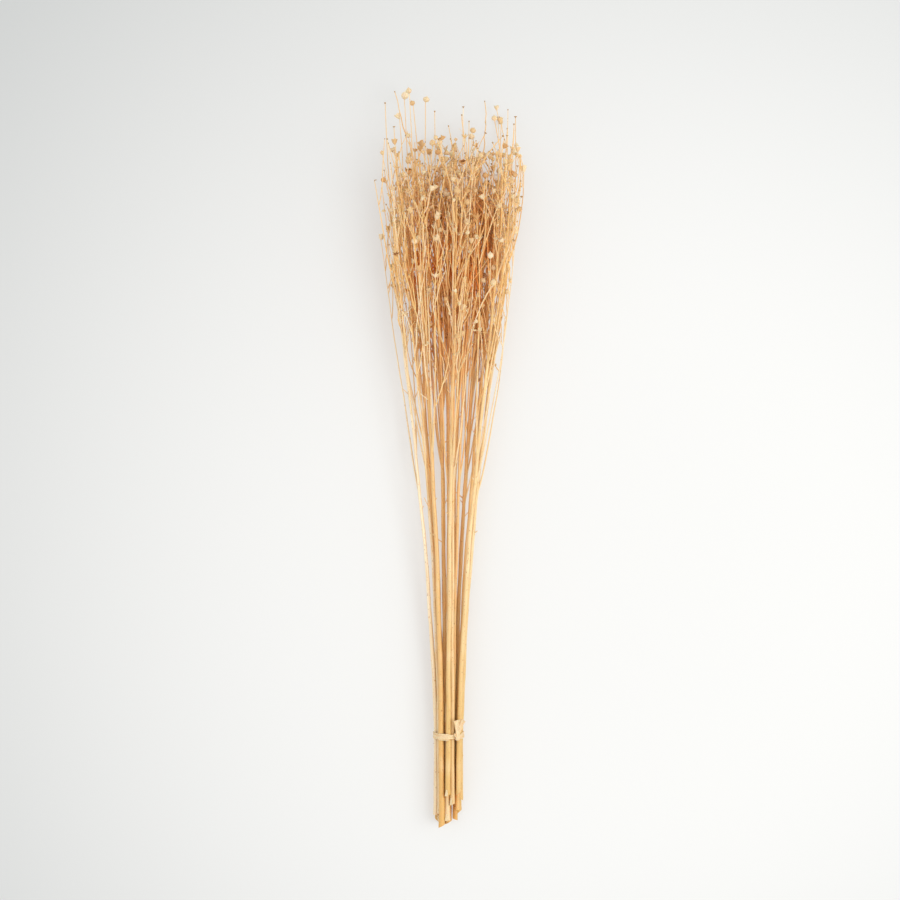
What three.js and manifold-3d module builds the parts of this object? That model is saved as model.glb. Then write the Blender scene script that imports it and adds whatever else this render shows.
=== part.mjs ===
// A tied bundle of dried, bleached stems with branched seed heads, lying on a flat surface.
//
// Each stem is one grown piece: a tapering stalk that carries slender upright branches, which end in a
// round seed pod or in the small knob that a lost pod leaves. A strip of raffia ties the stalks near
// their cut ends. The frame: +Y runs from the cut ends to the seed heads, +X across, +Z up, and the
// origin is the middle of the bundle's box on the surface that it lies on. All lengths are millimetres.
//
// Every stalk and branch is a rod whose rings stand in planes across the bundle (planes of one Y), so
// in such a plane each rod is a disc. The layout below therefore works with discs: stalks are pushed
// apart until no two discs meet, and a branch is kept only where its discs are clear of all others.

import * as THREE from "three";
import { mergeVertices } from "three/addons/utils/BufferGeometryUtils.js";
import Module from "manifold-3d";

// ---------- Driving dimensions ----------

const BUNDLE_LENGTH = 706; // from the longest cut end to the highest tip
const STEM_COUNT = 20;
const STALK_RADIUS = { least: 2.15, most: 3.05 }; // at the cut end
const STALK_TIP_RADIUS = 0.6;
const TAPER = 1; // above 1, a stalk stays thick for longer
const CUT_SCATTER = 36; // how unevenly the stalks were cut
const CUT_END_SPREAD = { outward: 0.12, stray: 0.9, down: 2.2 }; // how the cut ends splay below the tie
const TIP_FROM = 588; // the stalks end between this height and the next
const TIP_TO = 688;
const TIP_SKEW = 1.15; // above 1, more of them end low
const TIP_DROP = 22; // how much lower the outermost stalks end

const STATION_STEP = 44; // a stalk may bend at each station
const TIE_STATION = 2; // the raffia is at this station
const TIE_RADIUS = 14; // of the round that the stalks fill there
const TIE_HEIGHT = 16.6; // of its middle above the surface
const TIE_FILL = 0.84; // how far out in that round the outermost stalks' middles are

const FAN_POWER = 1.85; // above 1, the stalks stay together for longer and then part
const HEAD = { halfWidth: 76, low: 7, high: 63, lean: 6 }; // where the stalks' tips stand
const HEAD_SCATTER = 8; // how far a stalk strays from its own place in the fan
const HEAD_TWIST = 0.4; // and how far round the bundle, in radians, so that some cross
const ENVELOPE = { halfWidth: 76, high: 78 }; // no branch or pod goes outside this

const BRANCH_COUNT = { least: 6, most: 7 }; // on one stem
const BRANCH_FROM = 296; // the lowest fork
const BRANCH_HIGHEST = 75; // the highest fork is this far below the stalk's tip
const BRANCH_RADIUS = 0.85; // where it leaves the stalk
const BRANCH_TIP_RADIUS = 0.5;
const BRANCH_LENGTH = { least: 40, most: 270 };
const BRANCH_REACH = { least: 9, most: 23 }; // how far from the stalk its tip is
const CANOPY = { height: 656, share: 0.6 }; // this share of the branches ends below this height
const BRANCH_STEPS = 5; // straight stretches in one branch
const LEAN_BACK = 11; // how far the tips at the right edge bend back towards the middle
const BRANCH_BEND = 0.72; // below 1, it parts from the stalk early and then runs beside it
const CROTCH = 34; // above its fork, a branch may touch its own stem for this far
const POD = { radius: 3.6, length: 7, share: 0.6 }; // share of the branches that still have one
const KNOB = { radius: 0.8, length: 1.6 }; // on a branch that lost its pod

const RAFFIA = { width: 6.2, thickness: 0.7 };
const TAIL = { width: 5.6, length: 17, thickness: 0.8 };
const KNOT = { alongStrip: 4.2, alongBundle: 3.9, height: 1.9 }; // half sizes
const KNOT_ANGLE = (58 * Math.PI) / 180; // round the bundle, from +X up

const GAP = 0.34; // kept between any two pieces
const STALK_GAP = GAP * 1.15; // a little more where stalks bend
const BRANCH_GAP = GAP * 1.9; // and more still where a branch bends between the compared planes
const STALK_SIDES = 6;
const BRANCH_SIDES = 4;
const SLICE = 2; // spacing of the planes in which discs are compared

// ---------- Chance: the same numbers at each run ----------

let chanceState = 301;
function chance(low = 0, high = 1) {
  chanceState = (chanceState + 0x6d2b79f5) | 0;
  let mixed = Math.imul(chanceState ^ (chanceState >>> 15), 1 | chanceState);
  mixed = (mixed + Math.imul(mixed ^ (mixed >>> 7), 61 | mixed)) ^ mixed;
  return low + ((high - low) * ((mixed ^ (mixed >>> 14)) >>> 0)) / 2 ** 32;
}

// ---------- The stalks' layout ----------

const stationCount = Math.ceil(BUNDLE_LENGTH / STATION_STEP) + 1;
const goldenAngle = Math.PI * (3 - Math.sqrt(5));

// A stalk's radius at a height: thick at the cut end, slender at the tip.
function stalkRadius(stalk, y) {
  const along = THREE.MathUtils.clamp(y / stalk.tip, 0, 1);
  return THREE.MathUtils.lerp(STALK_TIP_RADIUS, stalk.radius, 1 - along ** TAPER);
}

// Where a stalk is at a height, as x and z, straight between its stations.
function stalkAt(stalk, y) {
  const k = THREE.MathUtils.clamp(Math.floor(y / STATION_STEP), 0, stationCount - 2);
  return new THREE.Vector2().lerpVectors(stalk.stations[k], stalk.stations[k + 1], y / STATION_STEP - k);
}

// How far up the fan a height is: 0 at the tie, 1 where the longest stalks end.
function fanShare(y) {
  const tieY = TIE_STATION * STATION_STEP;
  return THREE.MathUtils.clamp((y - tieY) / (TIP_TO - tieY), 0, 1);
}

// One stalk before it is pushed clear: from its place in the tie to its place in the fan of heads.
// Both places come from one sunflower spiral, so neighbours in the tie are mostly neighbours above.
function plannedStalk(index) {
  const out = Math.sqrt((index + 0.5) / STEM_COUNT);
  const turn = index * goldenAngle;
  const inTie = new THREE.Vector2(Math.cos(turn), Math.sin(turn))
    .multiplyScalar(out * TIE_RADIUS * TIE_FILL)
    .add(new THREE.Vector2(0, TIE_HEIGHT));
  const middle = (HEAD.low + HEAD.high) / 2;
  const halfHeight = (HEAD.high - HEAD.low) / 2;
  const headTurn = turn + chance(-HEAD_TWIST, HEAD_TWIST);
  const inHead = new THREE.Vector2(
    HEAD.lean + Math.cos(headTurn) * out * HEAD.halfWidth + chance(-HEAD_SCATTER, HEAD_SCATTER),
    middle + Math.sin(headTurn) * out * halfHeight + chance(-HEAD_SCATTER, HEAD_SCATTER) / 2,
  );
  const tipHeight = THREE.MathUtils.lerp(TIP_FROM, TIP_TO, chance() ** TIP_SKEW);
  const stations = [];
  const tieY = TIE_STATION * STATION_STEP;
  for (let k = 0; k < stationCount; k++) {
    const y = k * STATION_STEP;
    const above = Math.sin((Math.PI / 2) * fanShare(y) ** FAN_POWER);
    const below = Math.max(0, (tieY - y) / tieY);
    const at = new THREE.Vector2().lerpVectors(inTie, inHead, above);
    const stray = chance(-CUT_END_SPREAD.stray, CUT_END_SPREAD.stray);
    at.x += below * (inTie.x * CUT_END_SPREAD.outward + stray);
    at.y -= below * CUT_END_SPREAD.down; // the cut ends rest on the surface
    stations.push(at);
  }
  return {
    stations,
    planned: stations.map((p) => p.clone()),
    radius: chance(STALK_RADIUS.least, STALK_RADIUS.most),
    cut: CUT_SCATTER * chance() ** 1.7,
    tip: tipHeight - TIP_DROP * Math.abs(Math.cos(headTurn) * out),
  };
}

// Moves the point at share t between stations k and k + 1 by a step, by moving both stations.
function nudge(stalk, k, t, step) {
  const scale = 1 / (t * t + (1 - t) * (1 - t));
  stalk.stations[k].addScaledVector(step, (1 - t) * scale);
  stalk.stations[k + 1].addScaledVector(step, t * scale);
}

// Pushes two stalks apart wherever their discs come closer than the gap.
function pushApart(a, b) {
  const checksPerStep = 11;
  for (let k = 0; k < stationCount - 1; k++) {
    for (let c = 0; c < checksPerStep; c++) {
      const t = c / checksPerStep;
      const y = (k + t) * STATION_STEP;
      const apart = stalkAt(b, y).sub(stalkAt(a, y));
      const missing = stalkRadius(a, y) + stalkRadius(b, y) + STALK_GAP - apart.length();
      if (missing > 0) {
        apart.normalize().multiplyScalar(missing / 2);
        nudge(b, k, t, apart);
        nudge(a, k, t, apart.negate());
      }
    }
  }
}

// Lets the stalks find their places: each would rather be straight and on its planned line, the raffia
// holds them in a round, the surface holds them up, and none may enter another.
function settle(stalks, rounds, stiffness) {
  const tie = new THREE.Vector2(0, TIE_HEIGHT);
  for (let round = 0; round < rounds; round++) {
    for (const stalk of stalks) {
      for (let k = 1; k < stationCount - 1; k++) {
        const straight = stalk.stations[k - 1].clone().add(stalk.stations[k + 1]).multiplyScalar(0.5);
        stalk.stations[k].lerp(straight, stiffness);
      }
      stalk.stations.forEach((at, k) => at.lerp(stalk.planned[k], stiffness * 0.12));
    }
    stalks.forEach((a, i) => stalks.slice(i + 1).forEach((b) => pushApart(a, b)));
    for (const stalk of stalks) {
      const held = stalk.stations[TIE_STATION];
      const room = TIE_RADIUS - stalkRadius(stalk, TIE_STATION * STATION_STEP);
      held.sub(tie).clampLength(0, room).add(tie);
      stalk.stations.forEach((at, k) => {
        at.y = Math.max(at.y, stalkRadius(stalk, k * STATION_STEP));
      });
    }
  }
}

const stalks = Array.from({ length: STEM_COUNT }, (_, i) => plannedStalk(i));
settle(stalks, 260, 0.25);
settle(stalks, 160, 0);

// ---------- Rods ----------

// A rod is a list of rings, each with its middle and its radius, in planes of rising Y. A stalk has one
// at each end and at each station between them.
function stalkRings(stalk) {
  const least = 6; // from an end to a station
  const heights = [stalk.cut];
  for (let k = 0; k < stationCount; k++) {
    const y = k * STATION_STEP;
    if (y > stalk.cut + least && y < stalk.tip - least) heights.push(y);
  }
  heights.push(stalk.tip);
  return heights.map((y) => {
    const at = stalkAt(stalk, y);
    return { at: new THREE.Vector3(at.x, y, at.y), radius: stalkRadius(stalk, y) };
  });
}

// A branch or stalk with its end, in line with its last stretch: a pod, fullest above its middle, or
// the knob left by a lost one.
function withEnd(rings, hasPod) {
  const { radius, length } = hasPod ? POD : KNOB;
  const [before, last] = rings.slice(-2).map((r) => r.at);
  const perStep = last.clone().sub(before).divideScalar(last.y - before.y);
  const outline = hasPod
    ? [[0.3, 0.85], [0.7, 1], [1, 0.42]]
    : [[0.4, 1], [1, 0.7]];
  const end = outline.map(([along, wide]) => {
    const at = last.clone().addScaledVector(perStep, along * length);
    return { at, radius: wide * radius };
  });
  return [...rings, ...end];
}

// A branch from a stalk: it leaves at an acute angle and bends up until it runs beside the stalk.
function branchRings(stalk, fork, length, reach, turn, hasPod) {
  const rings = [];
  for (let i = 0; i <= BRANCH_STEPS; i++) {
    const along = i / BRANCH_STEPS;
    const y = fork + along * length;
    const at = stalkAt(stalk, y);
    const away = reach * along ** BRANCH_BEND;
    const back = (LEAN_BACK * along ** 3 * Math.max(0, at.x)) / HEAD.halfWidth;
    rings.push({
      at: new THREE.Vector3(at.x + Math.cos(turn) * away - back, y, at.y + Math.sin(turn) * away),
      radius: THREE.MathUtils.lerp(BRANCH_RADIUS, BRANCH_TIP_RADIUS, along),
    });
  }
  return withEnd(rings, hasPod);
}

// The discs of a rod in the planes that it crosses, by plane number.
function discs(rings) {
  const found = new Map();
  for (let i = 0; i < rings.length - 1; i++) {
    const [a, b] = [rings[i], rings[i + 1]];
    for (let plane = Math.ceil(a.at.y / SLICE); plane * SLICE <= b.at.y; plane++) {
      const t = (plane * SLICE - a.at.y) / (b.at.y - a.at.y);
      const at = new THREE.Vector3().lerpVectors(a.at, b.at, t);
      found.set(plane, { x: at.x, z: at.z, radius: THREE.MathUtils.lerp(a.radius, b.radius, t) });
    }
  }
  return found;
}

// ---------- The stems' branches ----------

const placed = new Map(); // plane number -> the discs of every rod placed so far

function place(rings, stem, isStalk) {
  for (const [plane, disc] of discs(rings)) {
    if (!placed.has(plane)) placed.set(plane, []);
    placed.get(plane).push({ ...disc, stem, isStalk });
  }
}

// Whether a new branch is inside the envelope, above the surface and clear of every placed rod. Near its
// fork it may meet its own stem.
function isClear(rings, stem) {
  const forkY = rings[0].at.y;
  const topY = rings[rings.length - 1].at.y;
  if (topY > BUNDLE_LENGTH) return false;
  for (const [plane, disc] of discs(rings)) {
    if (Math.abs(disc.x - HEAD.lean) + disc.radius > ENVELOPE.halfWidth) return false;
    if (disc.z + disc.radius > ENVELOPE.high || disc.z < disc.radius) return false;
    const nearFork = plane * SLICE < forkY + CROTCH;
    for (const other of placed.get(plane) ?? []) {
      if (other.stem === stem && (nearFork || (other.isStalk && disc.radius < 1))) continue;
      const apart = Math.hypot(disc.x - other.x, disc.z - other.z);
      if (apart < disc.radius + other.radius + BRANCH_GAP) return false;
    }
  }
  return true;
}

// The rods of one stem's branches. They fork off alternately, in turns of the golden angle, and a
// branch that would touch something is tried again a little further round, higher and shorter.
function growBranches(stalk, stem) {
  const grown = [];
  const count = Math.round(chance(BRANCH_COUNT.least, BRANCH_COUNT.most));
  const start = chance(0, 2 * Math.PI);
  for (let n = 0; n < count; n++) {
    const hasPod = chance() < POD.share;
    const ceiling = chance() < CANOPY.share ? CANOPY.height : BUNDLE_LENGTH;
    const share = (n + chance(0.1, 0.9)) / count;
    const lowest = THREE.MathUtils.lerp(BRANCH_FROM, stalk.tip - BRANCH_HIGHEST, share);
    for (let attempt = 0; attempt < 40; attempt++) {
      const fork = lowest + attempt * 2;
      const most = Math.min(ceiling - fork - POD.length - 1, BRANCH_LENGTH.most);
      const length = most * chance(0.5, 1) * 0.985 ** attempt;
      const reach = chance(BRANCH_REACH.least, BRANCH_REACH.most);
      const turn = start + n * goldenAngle + attempt * 0.63;
      const rings = branchRings(stalk, fork, length, reach, turn, hasPod);
      if (length > BRANCH_LENGTH.least && isClear(rings, stem)) {
        place(rings, stem, false);
        grown.push(rings);
        break;
      }
    }
  }
  return grown;
}

// ---------- Solids ----------

const wasm = await Module();
wasm.setup();

function solidOf(geometry) {
  geometry.deleteAttribute("normal");
  geometry.deleteAttribute("uv");
  const merged = mergeVertices(geometry, 1e-4);
  return new wasm.Manifold(new wasm.Mesh({
    numProp: 3,
    vertProperties: merged.attributes.position.array,
    triVerts: new Uint32Array(merged.index.array),
  }));
}

function geometryOf(solid) {
  const { vertProperties, triVerts } = solid.getMesh();
  return new THREE.BufferGeometry()
    .setAttribute("position", new THREE.BufferAttribute(vertProperties, 3))
    .setIndex(new THREE.BufferAttribute(triVerts, 1));
}

// A rod's solid: a closed cylinder with one row of vertices for each ring, moved onto the rings.
function rodSolid(rings, sides) {
  const steps = rings.length - 1;
  const geometry = new THREE.CylinderGeometry(1, 1, steps, sides, steps);
  const corners = geometry.attributes.position;
  for (let i = 0; i < corners.count; i++) {
    const { at, radius } = rings[Math.round(corners.getY(i) + steps / 2)];
    corners.setXYZ(i, at.x + radius * corners.getX(i), at.y, at.z + radius * corners.getZ(i));
  }
  return solidOf(geometry);
}

function joined(solids) {
  return solids.reduce((whole, next) => whole.add(next));
}

// ---------- The raffia tie ----------

// How far the stalks reach in a direction round the tie, within the strip's width.
function reachOfStalks(angle) {
  const tieY = TIE_STATION * STATION_STEP;
  let reach = 0;
  for (const y of [tieY - RAFFIA.width / 2, tieY, tieY + RAFFIA.width / 2]) {
    for (const stalk of stalks) {
      const at = stalkAt(stalk, y);
      const along = at.x * Math.cos(angle) + (at.y - TIE_HEIGHT) * Math.sin(angle);
      reach = Math.max(reach, along + stalkRadius(stalk, y));
    }
  }
  return reach;
}

// The taut outline round the stalks, some way out from them: where neighbouring tangents cross.
function tautOutline(out) {
  const sides = 32;
  const step = (2 * Math.PI) / sides;
  return Array.from({ length: sides }, (_, i) => {
    const [a, b] = [i * step, (i + 1) * step];
    const [ra, rb] = [reachOfStalks(a) + out, reachOfStalks(b) + out];
    return new THREE.Vector2(
      (ra * Math.sin(b) - rb * Math.sin(a)) / Math.sin(step),
      (rb * Math.cos(a) - ra * Math.cos(b)) / Math.sin(step) + TIE_HEIGHT,
    );
  });
}

function bandSolid() {
  const outline = new THREE.Shape(tautOutline(GAP + RAFFIA.thickness));
  outline.holes.push(new THREE.Path(tautOutline(GAP)));
  const band = new THREE.ExtrudeGeometry(outline, { depth: RAFFIA.width, bevelEnabled: false });
  band.rotateX(Math.PI / 2);
  band.translate(0, TIE_STATION * STATION_STEP + RAFFIA.width / 2, 0);
  return solidOf(band);
}

// The knot sits on the band with two short tails that stand away from it towards the seed heads. Both
// are made lying on a level surface at the origin and then turned onto the bundle's side.
function knotSolid() {
  const knot = new THREE.SphereGeometry(1, 10, 6);
  knot.scale(KNOT.alongStrip, KNOT.alongBundle, KNOT.height);
  const pieces = [solidOf(knot)];
  for (const [swing, lift] of [[0.1, 0.15], [-0.3, 0.24]]) {
    const tail = new THREE.BoxGeometry(TAIL.width, TAIL.length, TAIL.thickness);
    tail.translate(0, TAIL.length / 2, 0);
    tail.rotateX(lift);
    tail.rotateZ(swing);
    pieces.push(solidOf(tail));
  }
  const out = reachOfStalks(KNOT_ANGLE) + GAP + KNOT.height;
  return joined(pieces)
    .rotate([0, 90 - THREE.MathUtils.radToDeg(KNOT_ANGLE), 0])
    .translate([
      Math.cos(KNOT_ANGLE) * out,
      TIE_STATION * STATION_STEP,
      Math.sin(KNOT_ANGLE) * out + TIE_HEIGHT,
    ]);
}

// ---------- The bundle ----------

const straw = new THREE.MeshStandardMaterial({ color: "#e3c18d", roughness: 0.68, metalness: 0 });
const raffia = new THREE.MeshStandardMaterial({ color: "#ecd0a0", roughness: 0.74, metalness: 0 });

const bundle = new THREE.Group();

function addPiece(name, solid, material) {
  const mesh = new THREE.Mesh(geometryOf(solid), material);
  mesh.name = name;
  bundle.add(mesh);
}

const stemRods = stalks.map((stalk, stem) => {
  const rings = withEnd(stalkRings(stalk), false);
  place(rings, stem, true);
  return [rings];
});
stalks.forEach((stalk, stem) => stemRods[stem].push(...growBranches(stalk, stem)));

stemRods.forEach(([stalk, ...branches], stem) => {
  const solids = [rodSolid(stalk, STALK_SIDES), ...branches.map((b) => rodSolid(b, BRANCH_SIDES))];
  addPiece("stem_" + String(stem + 1).padStart(2, "0"), joined(solids), straw);
});
addPiece("raffia_tie", joined([bandSolid(), knotSolid()]), raffia);

// Puts the origin in the middle of the bundle's box, on the surface.
const box = new THREE.Box3().setFromObject(bundle, true);
const middle = box.getCenter(new THREE.Vector3());
bundle.position.set(-middle.x, -middle.y, -box.min.z);

export default bundle;
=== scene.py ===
# %% [markdown]
# # A tied bundle of dried seed-head stems
# The bundle lies on a pale board: twenty bleached stems, cut at the foot, branched at the top, with
# small papery seed pods and bare pin-headed twigs, and a strip of raffia knotted round them. The frame
# comes first, because it says where every stem and branch runs, and every later piece follows it.

# %% Load the frame
import math
import random

import bpy
import numpy as np
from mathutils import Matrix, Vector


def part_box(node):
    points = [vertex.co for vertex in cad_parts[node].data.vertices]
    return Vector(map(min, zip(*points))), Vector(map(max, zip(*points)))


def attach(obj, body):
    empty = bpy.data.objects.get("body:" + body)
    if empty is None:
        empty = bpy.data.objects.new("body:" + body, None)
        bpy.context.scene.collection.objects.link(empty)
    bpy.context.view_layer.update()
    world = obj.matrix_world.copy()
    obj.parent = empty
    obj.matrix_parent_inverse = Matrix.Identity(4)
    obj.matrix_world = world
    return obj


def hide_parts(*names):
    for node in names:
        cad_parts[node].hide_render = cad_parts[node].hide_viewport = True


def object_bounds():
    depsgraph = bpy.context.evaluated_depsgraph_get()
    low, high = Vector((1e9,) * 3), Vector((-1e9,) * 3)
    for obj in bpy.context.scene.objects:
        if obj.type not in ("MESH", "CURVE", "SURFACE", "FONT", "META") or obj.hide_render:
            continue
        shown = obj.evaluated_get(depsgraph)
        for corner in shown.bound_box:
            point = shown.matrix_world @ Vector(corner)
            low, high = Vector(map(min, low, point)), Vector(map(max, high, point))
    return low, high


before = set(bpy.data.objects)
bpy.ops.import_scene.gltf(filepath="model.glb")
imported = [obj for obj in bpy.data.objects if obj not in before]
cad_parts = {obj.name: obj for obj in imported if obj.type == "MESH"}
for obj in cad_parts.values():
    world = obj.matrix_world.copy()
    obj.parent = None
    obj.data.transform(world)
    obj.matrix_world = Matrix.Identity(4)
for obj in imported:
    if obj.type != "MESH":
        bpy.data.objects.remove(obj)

MM = 0.001
TAU = 2 * math.pi
X_AXIS, Y_AXIS, Z_AXIS = np.eye(3)

cad_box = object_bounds()
low, high = (np.array(corner) for corner in cad_box)
print("CAD box in mm:", np.round(low / MM, 1), np.round(high / MM, 1))

# %% [markdown]
# ## Camera
# The bundle lies down, so the camera looks straight down on it, with the seed heads at the top of the
# picture. A long lens from two metres keeps the tall heads from growing against the flat feet. The
# distance follows from how much surface the picture should show.

# %% Camera
LENS, SENSOR = 85, 36  # mm, a portrait lens on a full-frame sensor
PICTURE_SIDE = 855 * MM  # of the surface seen
EYE_SHIFT = np.array([-1.6, 9.0]) * MM  # from the middle of the bundle's box, across and along
HEAD_MIDDLE = 30 * MM  # height at which the picture's side is measured


def in_scene(name, data):
    """A new object in the scene."""
    made = bpy.data.objects.new(name, data)
    bpy.context.scene.collection.objects.link(made)
    return made


camera = in_scene("camera", bpy.data.cameras.new("camera"))
camera.data.lens, camera.data.sensor_width = LENS, SENSOR
camera.location = (
    (low[0] + high[0]) / 2 + EYE_SHIFT[0],
    (low[1] + high[1]) / 2 + EYE_SHIFT[1],
    HEAD_MIDDLE + PICTURE_SIDE * LENS / SENSOR,
)
bpy.context.scene.camera = camera
print("camera height in m:", round(camera.location.z, 3))

# %% [markdown]
# ## Reading the frame's stems
# A CAD stem is one solid: a stalk with its main branches. To grow a fine stem on it, we need the lines
# that those rods follow. Cutting the solid with level planes across the bundle gives one closed loop
# per rod, and joining each loop to the nearest one in the next plane gives the rod's line. A loop that
# belongs to no rod yet is a new branch.

# %% Loops in one plane
STEP = 4 * MM  # between the planes
SAME_PLACE = 0.001 * MM  # points nearer than this are one


def mesh_arrays(obj):
    """Points and triangles of a CAD mesh, with points in the same place counted once."""
    obj.data.calc_loop_triangles()
    points = np.array([v.co for v in obj.data.vertices])
    triangles = np.array([t.vertices for t in obj.data.loop_triangles])
    places = np.round(points / SAME_PLACE)
    _, first, same = np.unique(places, axis=0, return_index=True, return_inverse=True)
    return points[first], same.reshape(-1)[triangles]


def loops_at(points, triangles, y):
    """The middle and the reach of each closed loop in which the plane at y cuts the mesh."""
    above = points[:, 1] > y
    sides = above[triangles].sum(axis=1)
    places, leader = {}, {}

    def lead(key):
        while leader[key] != key:
            key = leader[key]
        return key

    for corners in triangles[(sides > 0) & (sides < 3)]:
        cut = []
        for a, b in zip(corners, np.roll(corners, -1)):
            if above[a] != above[b]:
                key = (min(a, b), max(a, b))
                share = (y - points[a, 1]) / (points[b, 1] - points[a, 1])
                places[key] = points[a] + share * (points[b] - points[a])
                leader.setdefault(key, key)
                cut.append(key)
        leader[lead(cut[0])] = lead(cut[1])
    groups = {}
    for key, place in places.items():
        groups.setdefault(lead(key), []).append(place)
    found = []
    for group in map(np.array, groups.values()):
        middle = (group.min(axis=0) + group.max(axis=0)) / 2
        found.append((middle, np.linalg.norm(group - middle, axis=1).max()))
    return found


# %% From loops to rods
REACH_OUT = 1.4 * MM  # a rod's next loop is at most this far from where it was heading
MERGED = 1.25  # a loop this much wider than its rod also holds another rod
LONGEST_HIDDEN = 12  # planes that a rod may run inside another before it is dropped
LEAST_POINTS = 6  # a rod with no more points than this is left out
POD_REACH = 1.9 * MM  # a branch that ends wider than this ends in a pod
BRANCH_REACH = POD_REACH / 1.5  # what is wider belongs to the pod
POD_PLANES = 3  # a pod crosses at most this many


def next_place(rod, y):
    """Where a rod is heading in the plane at y."""
    if len(rod["path"]) < 2:
        return np.array([rod["path"][-1][0], y, rod["path"][-1][2]])
    before, last = rod["path"][-2:]
    return last + (last - before) * (y - last[1]) / (last[1] - before[1])


def follow(rod, found, taken, y):
    """Adds to a rod its loop among those found in the plane at y, or ends it."""
    heading = next_place(rod, y)
    gaps = [np.linalg.norm(middle - heading) - reach for middle, reach in found]
    best = int(np.argmin(gaps)) if gaps else None
    if best is None or gaps[best] > REACH_OUT or rod["hidden"] > LONGEST_HIDDEN:
        rod["growing"] = False
        return
    middle, reach = found[best]
    shared = best in taken or reach > MERGED * rod["reach"][-1]
    rod["hidden"] = rod["hidden"] + 1 if best in taken else 0
    rod["path"].append(heading if shared else middle)
    rod["reach"].append(rod["reach"][-1] if best in taken else reach)
    taken.add(best)


def trace(node):
    """The rods of one CAD stem, the stalk first."""
    points, triangles = mesh_arrays(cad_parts[node])
    foot, top = points[:, 1].min(), points[:, 1].max()
    rods = []
    for y in np.arange(foot + STEP / 8, top, STEP):
        found = loops_at(points, triangles, y)
        taken = set()
        for rod in rods:
            if rod["growing"]:
                follow(rod, found, taken, y)
        for i, (middle, reach) in enumerate(found):
            if i in taken:
                continue
            start = []
            if rods:
                parent = min(rods, key=lambda r: np.linalg.norm(r["path"][-1] - middle))
                start = list(parent["path"][-4:-2])
            rods.append({"path": [*start, middle], "reach": [reach] * (len(start) + 1),
                         "hidden": 0, "growing": True})
    return [finished(rod) for rod in rods if len(rod["path"]) > LEAST_POINTS]


def finished(rod):
    """A rod's path, smoothed, its reach, and whether it ends in a pod, which is taken off its end."""
    path, reach = np.array(rod["path"]), np.array(rod["reach"])
    end = reach[-POD_PLANES:]
    pod = end.max() > POD_REACH and reach[:-POD_PLANES].min() < BRANCH_REACH
    if pod:
        first = len(path) - POD_PLANES + int(np.argmax(end > BRANCH_REACH))
        path, reach = path[:first], reach[:first]
    for _ in range(2):
        path[1:-1] = (path[:-2] + 2 * path[1:-1] + path[2:]) / 4
    return {"path": path, "reach": np.minimum.accumulate(reach), "pod": pod}


STEMS = sorted(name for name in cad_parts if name.startswith("stem_"))
rods_of = {name: trace(name) for name in STEMS}
print("stems:", len(STEMS), " branches:", sum(len(rods) - 1 for rods in rods_of.values()),
      " pods on them:", sum(rod["pod"] for rods in rods_of.values() for rod in rods))

# %% [markdown]
# ## Painted shade inside the bundle
# Stems like these are bleached pale by sun and air. Deep inside the bundle the gaps look orange, from
# light that bounces between the warm stems, and that orange is painted shade laid on the skin and the
# pods. So every point of the mesh gets a number that says how deep inside the bundle it lies, from the
# rods that pass at its height, and the painted shade follows that number.

# %% Depth inside the bundle
feet = low[1]
LEVEL_GAP = 12 * MM
LEVELS = np.arange(low[1], high[1], LEVEL_GAP)
STRAYS = [3, 97]  # percentiles: what lies further out counts as a stray
SKIN_MARGIN = 2 * MM  # from the rods' lines to the outside
SKIN_DEEP, HEART = 0.92, 0.6  # shares of the bundle's half size: no painted shade outside, full painted shade inside
HEAD_OPENS, HEAD_OPEN = feet + 545 * MM, feet + 640 * MM  # light starts to get in, and gets in fully


def bundle_round(y):
    """The bundle's middle and half size in x and z near a height, without its few strays."""
    near = [point for rods in rods_of.values() for rod in rods for point in rod["path"]
            if abs(point[1] - y) < LEVEL_GAP]
    spread = np.percentile(np.array(near)[:, [0, 2]], STRAYS, axis=0)
    return np.concatenate([spread.mean(axis=0), (spread[1] - spread[0]) / 2 + SKIN_MARGIN])


ROUNDS = np.array([bundle_round(y) for y in LEVELS])


def painted_shade_depth(points):
    """How much painted shade a point gets: 0 on the outside of the bundle, 1 in its heart, none at the
    top.
    """
    x, z, wide, high_half = (np.interp(points[:, 1], LEVELS, ROUNDS[:, k]) for k in range(4))
    out = np.hypot((points[:, 0] - x) / wide, (points[:, 2] - z) / high_half)
    open_top = np.clip((HEAD_OPEN - points[:, 1]) / (HEAD_OPEN - HEAD_OPENS), 0, 1)
    return np.clip((SKIN_DEEP - out) / (SKIN_DEEP - HEART), 0, 1) * open_top

# %% [markdown]
# ## Shells
# A plant is made of many small closed shells: stalk, twigs, pods, scales. Each stem grew as one piece,
# so its shells are gathered in one mesh. Every point also keeps two things that the materials read: a
# tone, which says how pale or brown that bit dried, and its grain, the place that it would have if its
# rod were pulled straight. A fibre pattern laid on the grain runs along every bent twig with no seam.

# %% Gathering shells
SKIN, PITH, PAPER, TIP = range(4)  # the stem's materials, in the order of its slots
BOARD_GAP = 0.06 * MM  # nothing comes nearer to the board


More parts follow.
